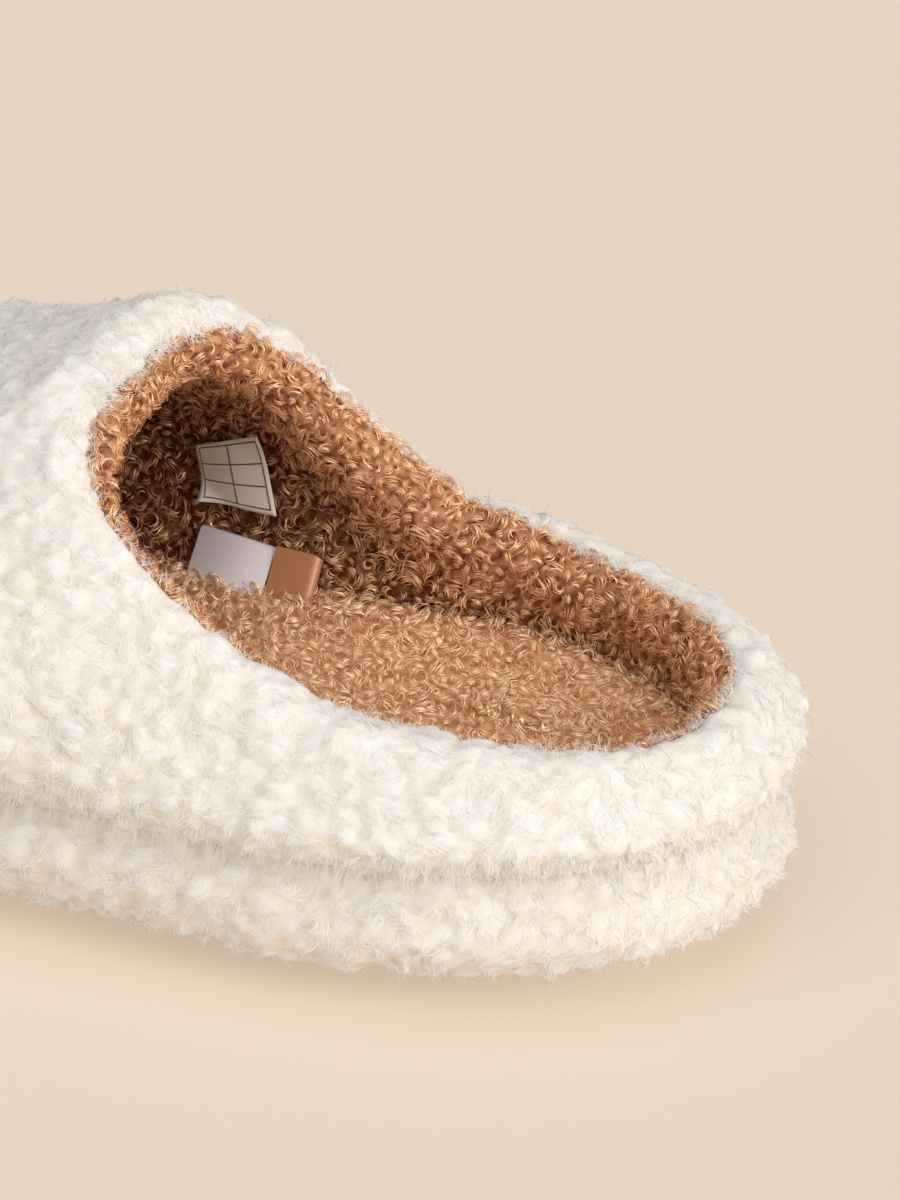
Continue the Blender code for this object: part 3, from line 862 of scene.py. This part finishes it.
def curls(name, places, bright, strands):
    """Soft round curls: fine strands wound about each place as on a small ball of yarn."""
    points, normals, spacing = places
    count = len(points)
    along = tangents(normals)[0]
    axis = unit(along + normals * RANDOM.uniform(*CURL_TILTS, (count, 1)))
    radius = CURL_SIZE * spacing * RANDOM.uniform(*CURL_SIZES, count)
    owner = np.repeat(np.arange(count), strands)
    total = len(owner)
    one = (total, 1)
    wound = unit(axis[owner] + RANDOM.normal(0, CURL_STRAY, (total, 3)))
    second = unit(np.cross(wound, normals[owner]))
    first = np.cross(second, wound)
    step = np.linspace(-0.5, 0.5, STRAND_STEPS)[None, :]
    angle = RANDOM.uniform(*CURL_STARTS, one) + RANDOM.uniform(*CURL_SWEEPS, one) * step
    polar = np.arccos(RANDOM.uniform(*CURL_POLES, one)) + RANDOM.uniform(*CURL_SLANTS, one) * step
    flat = np.cos(angle)[..., None] * first[:, None] + np.sin(angle)[..., None] * second[:, None]
    way = np.sin(polar)[..., None] * flat + np.cos(polar)[..., None] * wound[:, None]
    reach = radius[owner] * (1 + CURL_LOOSE * RANDOM.random(total) ** CURL_RARE)
    reach = reach * RANDOM.uniform(*CURL_REACHES, total)
    centre = points + normals * (CURL_SUNK * radius)[:, None]
    lines = centre[owner][:, None] + way * reach[:, None, None]
    # painted shade at each curl's foot and deep in the shoe, and painted light at the rim by bright
    height = ((lines - points[owner][:, None]) * normals[owner][:, None]).sum(axis=2)
    depth = CURL_ROOT + CURL_BRIGHT * bright[owner][:, None] + height / CURL_TIP
    widths = STRAND_WIDTH * RANDOM.uniform(*STRAND_WIDTHS, one) * np.cos(STRAND_TAPER * step)
    shaded = unit(way + RANDOM.normal(0, STRAND_UNEVEN, (total, 1, 3)))
    tint = CURL_SHARED * RANDOM.random(count)[owner] + (1 - CURL_SHARED) * RANDOM.random(total)
    depth = np.clip(depth, 0.0, CURL_PALEST)[..., None]
    return strips_mesh(name, ribbons(lines, way, widths), depth, tint, shaded)


def add_node(tree, kind, **settings):
    """New shader node with its settings, such as its operation."""
    node = tree.nodes.new(kind)
    for name, value in settings.items():
        setattr(node, name, value)
    return node


def pile_group():
    """Colour of pile between its roots and tips, with a little difference from tuft to tuft. The roots'
    colour is painted shade.
    """
    group = bpy.data.node_groups.new("pile colour", "ShaderNodeTree")
    for name, kind in (("Root", "Color"), ("Tip", "Color"), ("Spread", "Float")):
        group.interface.new_socket(name, in_out="INPUT", socket_type="NodeSocket" + kind)
    group.interface.new_socket("Color", in_out="OUTPUT", socket_type="NodeSocketColor")
    enter = add_node(group, "NodeGroupInput")
    leave = add_node(group, "NodeGroupOutput")
    depth = add_node(group, "ShaderNodeAttribute", attribute_name="depth")
    tint = add_node(group, "ShaderNodeAttribute", attribute_name="tint")
    centred = add_node(group, "ShaderNodeMath", operation="SUBTRACT")
    centred.inputs[1].default_value = 0.5
    spread = add_node(group, "ShaderNodeMath", operation="MULTIPLY_ADD")
    mix = add_node(group, "ShaderNodeMix", data_type="RGBA")
    link = group.links.new
    link(tint.outputs["Fac"], centred.inputs[0])
    link(centred.outputs[0], spread.inputs[0])
    link(enter.outputs["Spread"], spread.inputs[1])
    link(depth.outputs["Fac"], spread.inputs[2])
    link(spread.outputs[0], mix.inputs["Factor"])
    link(enter.outputs["Root"], mix.inputs["A"])
    link(enter.outputs["Tip"], mix.inputs["B"])
    link(mix.outputs["Result"], leave.inputs["Color"])
    return group


def new_material(name):
    material = bpy.data.materials.new(name)
    material.use_nodes = True
    return material, material.node_tree.nodes["Principled BSDF"]


def set_values(shader, **values):
    for name, value in values.items():
        shader.inputs[name.replace("_", " ").title().replace("Ior", "IOR")].default_value = value


def pile_material(name, group, root, tip, spread, **values):
    material, shader = new_material(name)
    tree = material.node_tree
    colour = add_node(tree, "ShaderNodeGroup", node_tree=group)
    colour.inputs["Root"].default_value = (*root, 1.0)
    colour.inputs["Tip"].default_value = (*tip, 1.0)
    colour.inputs["Spread"].default_value = spread
    tree.links.new(colour.outputs["Color"], shader.inputs["Base Color"])
    set_values(shader, **values)
    return material


def add_bump(material, height, distance, strength):
    """Leads a height into the material's normal."""
    tree = material.node_tree
    bump = add_node(tree, "ShaderNodeBump")
    set_values(bump, distance=distance, strength=strength)
    tree.links.new(height, bump.inputs["Height"])
    tree.links.new(bump.outputs["Normal"], tree.nodes["Principled BSDF"].inputs["Normal"])


def noise(material, scale, detail):
    """Fine unevenness in the part's own space, in features to the metre."""
    tree = material.node_tree
    place = add_node(tree, "ShaderNodeTexCoord")
    texture = add_node(tree, "ShaderNodeTexNoise")
    set_values(texture, scale=scale, detail=detail)
    tree.links.new(place.outputs["Object"], texture.inputs["Vector"])
    return texture.outputs["Fac"]


def dress(item, material):
    item.data.materials.clear()
    item.data.materials.append(material)
    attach(item, "root")


def add_floor():
    bpy.ops.object.select_all(action="DESELECT")
    bpy.ops.mesh.primitive_plane_add(size=FLOOR_SIZE)
    floor = bpy.context.object
    floor.name = "floor"
    material, shader = new_material("floor")
    set_values(shader, base_color=FLOOR_COLOUR, emission_color=FLOOR_GLOW, emission_strength=1.0,
               roughness=1.0, specular_ior_level=0.0)
    floor.data.materials.append(material)


def film_material():
    """Matt white film with a plain grid of fine lines, two cells wide and three high."""
    material, shader = new_material("label film")
    tree = material.node_tree
    place = add_node(tree, "ShaderNodeTexCoord")
    shift = add_node(tree, "ShaderNodeVectorMath", operation="SUBTRACT")
    shift.inputs[1].default_value = GRID_START
    grid = add_node(tree, "ShaderNodeTexBrick", offset=0.0, squash=1.0)
    for name, value in GRID:
        grid.inputs[name].default_value = value
    for name in ("Color1", "Color2"):
        grid.inputs[name].default_value = FILM_WHITE
    grid.inputs["Mortar"].default_value = FILM_LINES
    centred = add_node(tree, "ShaderNodeVectorMath", operation="SUBTRACT")
    centred.inputs[1].default_value = FILM_MIDDLE
    size = add_node(tree, "ShaderNodeVectorMath", operation="ABSOLUTE")
    parts = add_node(tree, "ShaderNodeSeparateXYZ")
    farther = add_node(tree, "ShaderNodeMath", operation="MAXIMUM")
    inside = add_node(tree, "ShaderNodeMath", operation="LESS_THAN")
    inside.inputs[1].default_value = GRID_REACH
    mix = add_node(tree, "ShaderNodeMix", data_type="RGBA")
    mix.inputs["A"].default_value = FILM_WHITE
    link = tree.links.new
    link(place.outputs["UV"], shift.inputs[0])
    link(shift.outputs["Vector"], grid.inputs["Vector"])
    link(place.outputs["UV"], centred.inputs[0])
    link(centred.outputs["Vector"], size.inputs[0])
    link(size.outputs["Vector"], parts.inputs["Vector"])
    link(parts.outputs["X"], farther.inputs[0])
    link(parts.outputs["Y"], farther.inputs[1])
    link(farther.outputs[0], inside.inputs[0])
    link(inside.outputs[0], mix.inputs["Factor"])
    link(grid.outputs["Color"], mix.inputs["B"])
    link(mix.outputs["Result"], shader.inputs["Base Color"])
    set_values(shader, roughness=0.5, specular_ior_level=0.4)
    add_bump(material, noise(material, scale=900.0, detail=2.0), distance=0.1 * MM, strength=0.3)
    return material


def satin_material(name, colour):
    """Glossy ribbon with a fine weave, painted darker in the weave's dips: painted shade that makes its sheen
    look uneven.
    """
    material, shader = new_material(name)
    tree = material.node_tree
    place = add_node(tree, "ShaderNodeTexCoord")
    weave = add_node(tree, "ShaderNodeTexWave", bands_direction="X")
    set_values(weave, scale=22.0, distortion=1.5, detail=2.0)
    # painted shade: darker in the weave's dips
    tone = add_node(tree, "ShaderNodeMix", data_type="RGBA")
    tone.inputs["A"].default_value = (*(SATIN_DIP_SHADE * value for value in colour), 1.0)
    tone.inputs["B"].default_value = (*colour, 1.0)
    link = tree.links.new
    link(place.outputs["UV"], weave.inputs["Vector"])
    link(weave.outputs["Fac"], tone.inputs["Factor"])
    link(tone.outputs["Result"], shader.inputs["Base Color"])
    set_values(shader, roughness=0.26, specular_ior_level=0.8, sheen_weight=0.3)
    add_bump(material, weave.outputs["Fac"], distance=0.05 * MM, strength=0.3)
    return material


def add_camera():
    camera = bpy.data.cameras.new("camera")
    camera.lens = VIEW_LENS
    item = bpy.data.objects.new("camera", camera)
    item.location = VIEW_POINT + VIEW_BACK * VIEW_DISTANCE
    item.rotation_euler = Vector(VIEW_BACK).to_track_quat("Z", "Y").to_euler()
    bpy.context.scene.collection.objects.link(item)
    bpy.context.scene.camera = item


def add_sun(sun):
    """Soft distant light from a direction given in the camera's terms."""
    toward = VIEW_LEVEL * sun.back + VIEW_RIGHT * sun.right + UP * sun.up
    light = bpy.data.lights.new(sun.name, "SUN")
    light.energy = sun.strength
    light.angle = radians(sun.angle)
    light.color = SUN_COLOUR
    item = bpy.data.objects.new(sun.name, light)
    item.rotation_euler = Vector(toward).to_track_quat("Z", "Y").to_euler()
    bpy.context.scene.collection.objects.link(item)


def add_light():
    world = bpy.data.worlds.new("studio")
    world.use_nodes = True
    set_values(world.node_tree.nodes["Background"], color=WORLD_COLOUR, strength=WORLD_STRENGTH)
    bpy.context.scene.world = world
    for sun in SUNS:
        add_sun(sun)
    bpy.context.scene.view_settings.view_transform = "Standard"


def label_frame(node):
    """Middle of a label, its directions and its half sizes along them.

    The directions are to the heel, up the wall and into the shoe.
    """
    points = points_of(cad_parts[node])
    middle = points.mean(axis=0)
    thin = np.linalg.svd(points - middle, full_matrices=False)[2][2]
    inward = thin * np.sign(thin[1])
    heelward = unit(np.cross(UP, inward))
    axes = np.stack((heelward, np.cross(inward, heelward), inward))
    return middle, axes, np.abs((points - middle) @ axes.T).max(axis=0)


def under_labels(points):
    """True where the lower part of a ribbon covers the lining."""
    covered = np.zeros(len(points), bool)
    for node in ("satin_tag", "satin_loop"):
        middle, axes, half = label_frame(node)
        offset = (points - middle) @ axes.T
        inside = np.abs(offset) < half * COVER_SHARE + np.array((0.0, 0.0, COVER_DEPTH))
        covered |= inside.all(axis=1) & (offset[:, 1] < 0)
    return covered


def bent_sheet(name, columns, rows, shape):
    """Sheet whose places come from shape, a function of the shares across and up."""
    bpy.ops.object.select_all(action="DESELECT")
    bpy.ops.mesh.primitive_grid_add(x_subdivisions=columns, y_subdivisions=rows, size=1.0)
    item = bpy.context.object
    item.name = name
    item.data.name = name
    shares = points_of(item)[:, :2] + 0.5
    put_points(item, shape(shares[:, 0], shares[:, 1]))
    item.data.shade_smooth()
    return item


def corner_curl(distance, height, width):
    """How far a film's corner curls up, at a distance from it."""
    return height * np.clip(1 - distance / width, 0, 1) ** 2


def add_wall_label():
    """Film label with curled corners and a plain printed grid."""
    middle, axes = label_frame("wall_label")[:2]
    low, high = np.array((LABEL_LOW, LABEL_HIGH)) * MM

    def shape(across, up):
        across, up = across[:, None], up[:, None]
        bottom = low[0] * (1 - across) + low[1] * across
        top = high[0] * (1 - across) + high[1] * across
        spot = bottom * (1 - up) + top * up
        curl = corner_curl(across + up, *LOW_CURL) + corner_curl(2 - across - up, *HIGH_CURL)
        bow = LABEL_BOW * np.sin(pi * (across - LABEL_BOW_START)) + LABEL_LIFT + LABEL_LEAN * (1 - up)
        return middle + spot @ axes[:2] + axes[2] * (curl + bow)

    item = bent_sheet("wall_label_film", columns=24, rows=24, shape=shape)
    apply_modifier(item, "film", "SOLIDIFY", thickness=FILM_THICKNESS, offset=0.0)
    dress(item, film_material())
    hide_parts("wall_label")


def folded(place, radius):
    """Ribbon folded at its middle, by the place along it: run from the fold, offset to its side, and turn."""
    turn = np.clip(place / radius, -pi / 2, pi / 2)
    straight = np.maximum(np.abs(place) - pi * radius / 2, 0)
    return radius * np.cos(turn) - straight - radius, -radius * np.sin(turn), turn


def add_satin():
    """Folded white tag and bronze loop, sewn in where the wall meets the foot bed."""
    middle, axes, half = label_frame("satin_tag")

    def tag_shape(across, along):
        down, aside = folded((along - 0.5) * TAG_LENGTH, TAG_FOLD)[:2]
        run = (across - 0.5) * (2 * half[0] + TAG_WIDER) + TAG_SHIFT
        rise = down + TAG_TOP + TAG_TILT * run
        out = aside + TAG_LIFT + TAG_BOW * np.sin(TAG_BOW_TURN * across)
        return middle + np.stack((run, rise, out), axis=1) @ axes

    tag = bent_sheet("satin_tag_ribbon", columns=20, rows=60, shape=tag_shape)
    dress(tag, satin_material("white satin", WHITE_SATIN))
    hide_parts("satin_tag")

    middle, axes, half = label_frame("satin_loop")

    def loop_shape(along, up):
        back, aside, turn = folded((along - 0.5) * LOOP_LENGTH, LOOP_FOLD)
        run = back + half[0] + LOOP_SHIFT
        rise = (up - 1) * LOOP_WIDTH + LOOP_TOP - LOOP_DIP * np.cos(turn)
        return middle + np.stack((run, rise, aside + LOOP_LIFT), axis=1) @ axes

    loop = bent_sheet("satin_loop_ribbon", columns=60, rows=16, shape=loop_shape)
    dress(loop, satin_material("bronze satin", BRONZE_SATIN))
    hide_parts("satin_loop")


def halves(points):
    """The slipper's two halves, each with its name and which points lie in it."""
    left = points[:, 1] > MIDDLE_Y
    return ("left", left), ("right", ~left)


def spread_places(item, spacing, keep):
    """Places on an object at least the spacing apart, where keep allows them: points, normals, spacing."""
    points, normals = scatter(item, CURL_TRIES / spacing**2)
    chosen = keep(points, normals)
    points, normals = points[chosen], normals[chosen]
    kept = thin_out(points, spacing)
    return points[kept], normals[kept], np.full(len(kept), spacing)


def under_edge(points, normals):
    """How far the upper's skin swells at its lower edge, where it sits on the sole."""
    return UPPER_TOUCH * ease((-normals[..., 2] - EDGE_START) / EDGE_SPAN) * (points[..., 2] < GROOVE_TOP)


def add_pile(name, item, spacing, shows, rich, bright, material):
    """Curls on a skin: close together and full where the pile is rich, and plain where it is out of sight."""
    full = spread_places(item, spacing, lambda points, normals: shows(points, normals) & rich(points))
    plain = spread_places(item, DEEP_SPACING, lambda points, normals: shows(points, normals) & ~rich(points))
    heel = full[0][:, 0] < HALF_X
    for label, chosen in (("heel", heel), ("throat", ~heel)):
        part = [column[chosen] for column in full]
        dress(curls(f"{name}_curls_{label}", part, bright(part[0]), STRANDS), material)
    dress(curls(name + "_curls_plain", plain, bright(plain[0]), PLAIN_STRANDS), material)


def add_upper(white, hair, brown, silk):
    shell = even_skin("upper", "upper_fleece", FLEECE_MESH)
    lower_rim(shell)
    tree = skin_tree(shell)
    past = seam_distance(points_of(shell))
    side = lining_side(shell, past)
    lining = copy_of(shell, "upper_lining")
    keep_faces(lining, (side > 0) | (np.nan_to_num(past, nan=-1.0) > -SEAM_TUCK))
    keep_faces(shell, (side < 0) | (np.nan_to_num(past, nan=1.0) < SEAM_TRIM))
    tufts = make_tufts(shell, TUFT_SPACING, TUFT_HEIGHT)
    swells = make_tufts(shell, SWELL_SPACING, SWELL_HEIGHT)
    points, normals = points_of(shell), normals_of(shell)
    past = np.nan_to_num(seam_distance(points), nan=-1.0)
    touch = under_edge(points, normals) - SEAM_SUNK * np.clip(past / SEAM_TRIM, 0, 1)
    raise_tufts(shell, tufts, swells, ease(-past / SEAM_FADE), touch)
    for label, chosen in halves(tufts.centre):
        part = Tufts(*(column[chosen] for column in tufts))
        dress(fleece_hairs("upper_hairs_" + label, part, swells, tree, under_edge), hair)
    add_fringe(hair)
    dress(shell, white)
    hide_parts("upper")

    points, normals = points_of(lining), normals_of(lining)
    past = np.nan_to_num(seam_distance(points), nan=1.0)
    clumps = make_tufts(lining, CLUMP_SPACING, CLUMP_HEIGHT)
    lift = ease(past / SEAM_FADE) * (swell_under(clumps, points) + fuller_roll(points))
    lift = lift - SEAM_SUNK * np.clip(-past / SEAM_TUCK, 0, 1)
    put_points(lining, points + normals * (lift - SKIN_INSET)[:, None])

    def shows(points, normals):
        return ~under_labels(points) & (np.nan_to_num(seam_distance(points), nan=1.0) > CURL_SEAM)

    def rich(points):
        return (points[:, 0] < DEEP_X) & ((points[:, 1] < MIDDLE_Y) | (at_rim(points) > RIM_RICH))

    add_pile("lining", lining, CURL_SPACING, shows, rich, at_rim, silk)
    # painted shade: the lining's skin is dark deep in the shoe, and painted light makes it lighter at the rim
    colour_skin(lining, LINING_DEPTH + LINING_LIGHT * at_rim(points_of(lining)))
    dress(lining, brown)
    add_groove_hairs(shell, hair)


def add_sole(white, hair):
    skin = even_skin("sole", "sole_fleece", SOLE_MESH)
    tree = skin_tree(skin)

    def shows(points, normals):
        return (normals[:, 2] < TOPSIDE) & (normals[:, 2] > UNDERSIDE)

    points, normals = points_of(skin), normals_of(skin)
    side = KDTree(len(points))
    for i in np.flatnonzero(np.abs(normals[:, 2]) < UPRIGHT):
        side.insert(points[i], i)
    side.balance()

    def top_edge(points, normals):
        """How far the sole's skin swells at its upper edge, where it meets the upper."""
        gaps = np.array([side.find(point)[2] for point in points.reshape(-1, 3)])
        near = ease(2 - 2 * gaps.reshape(points.shape[:-1]) / SOLE_EDGE)
        return SOLE_TOUCH * ease((normals[..., 2] - EDGE_START) / EDGE_SPAN) * near

    tufts = make_tufts(skin, TUFT_SPACING, TUFT_HEIGHT, shows)
    swells = make_tufts(skin, SWELL_SPACING, SWELL_HEIGHT)
    grown = ease((normals[:, 2] + SOLE_FLAT) / SOLE_FLAT_FADE)
    raise_tufts(skin, tufts, swells, grown, top_edge(points, normals) + SKIN_INSET * (1 - grown))
    dress(fleece_hairs("sole_hairs", tufts, swells, tree, top_edge), hair)
    dress(skin, white)
    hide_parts("sole")


def add_stitches(tree):
    """Short, plain row of gold stitches, half sunk in the foot bed's pile."""
    along = np.sort(RANDOM.random(STITCHES))[:, None]
    middle = np.array(STITCH_START) * (1 - along) + np.array(STITCH_END) * along
    middle[:, 1] += STITCH_WAVE * np.sin(along[:, 0] * STITCH_BENDS * pi)
    step = np.linspace(-0.5, 0.5, STRAND_STEPS)[None, :, None]
    turn = RANDOM.uniform(*STITCH_TURNS, STITCHES)
    reach = np.stack((-np.cos(turn), np.sin(turn), np.zeros(STITCHES)), axis=1)[:, None] * STITCH_LENGTH
    lines, facing = hug(tree, middle[:, None] + reach * step)
    arch = STITCH_LIFT * (1 - STITCH_ARCH * step**2)
    lines = lines + facing * (arch * RANDOM.uniform(*STITCH_LIFTS, (STITCHES, 1, 1)))
    widths = np.full((STITCHES, STRAND_STEPS), STITCH_WIDTH)
    strips = ribbons(lines, facing, widths)
    stitches = strips_mesh("gold_stitches", strips, depth=0.5, tint=RANDOM.random(STITCHES))
    gold = satin_material("gold thread", GOLD_THREAD)
    set_values(gold.node_tree.nodes["Principled BSDF"], metallic=0.6, roughness=0.3)
    dress(stitches, gold)


def add_insole(bed):
    skin = even_skin("insole", "insole_bed", INSOLE_MESH)
    clumps = make_tufts(skin, CLUMP_SPACING, BED_HEIGHT)
    points, normals = points_of(skin), normals_of(skin)
    lift = swell_under(clumps, points) * ease(normals[:, 2]) + BED_TOUCH * (1 - normals[:, 2] ** 2)
    put_points(skin, points + normals * (lift - SKIN_INSET)[:, None])
    tree = skin_tree(skin)

    def shows(points, normals):
        return normals[:, 2] > BED_FACING

    def rich(points):
        return (points[:, 0] < DEEP_X) & (points[:, 1] < BED_HIDDEN_Y)

    # the foot bed's curls are all painted as light as those of the rim: painted light
    def bright(points):
        return np.ones(len(points))

    add_pile("insole", skin, BED_SPACING, shows, rich, bright, bed)
    colour_skin(skin, BED_DEPTH)
    dress(skin, bed)
    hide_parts("insole")
    add_stitches(tree)


def main():
    add_camera()
    add_light()
    add_floor()
    group = pile_group()
    white = pile_material("white fleece", group, WHITE_ROOT_SHADE, WHITE_TIP, spread=0.25, roughness=0.95,
                          specular_ior_level=0.1, sheen_weight=0.1, sheen_roughness=0.5)
    add_bump(white, noise(white, scale=2600.0, detail=2.0), distance=0.15 * MM, strength=0.6)
    # the hairs glow faintly: painted light
    hair = pile_material("white hairs", group, HAIR_ROOT_SHADE, HAIR_TIP, spread=0.25, roughness=0.95,
                         specular_ior_level=0.1, emission_color=HAIR_PAINTED_GLOW, emission_strength=0.06)
    brown = pile_material("lining backing", group, PILE_ROOT_SHADE, PILE_TIP, spread=0.3, roughness=0.8,
                          specular_ior_level=0.1)
    add_bump(brown, noise(brown, scale=1400.0, detail=2.0), distance=0.6 * MM, strength=0.8)
    silk = pile_material("lining pile", group, PILE_ROOT_SHADE, PILE_TIP, spread=0.35, roughness=0.35,
                         metallic=0.25, specular_ior_level=0.3, specular_tint=PILE_GLOSS)
    bed = pile_material("foot bed pile", group, BED_ROOT_SHADE, BED_TIP, spread=0.35, roughness=0.35,
                        metallic=0.15, specular_ior_level=0.4, specular_tint=BED_GLOSS)
    add_upper(white, hair, brown, silk)
    add_sole(white, hair)
    add_insole(bed)
    add_wall_label()
    add_satin()


main()
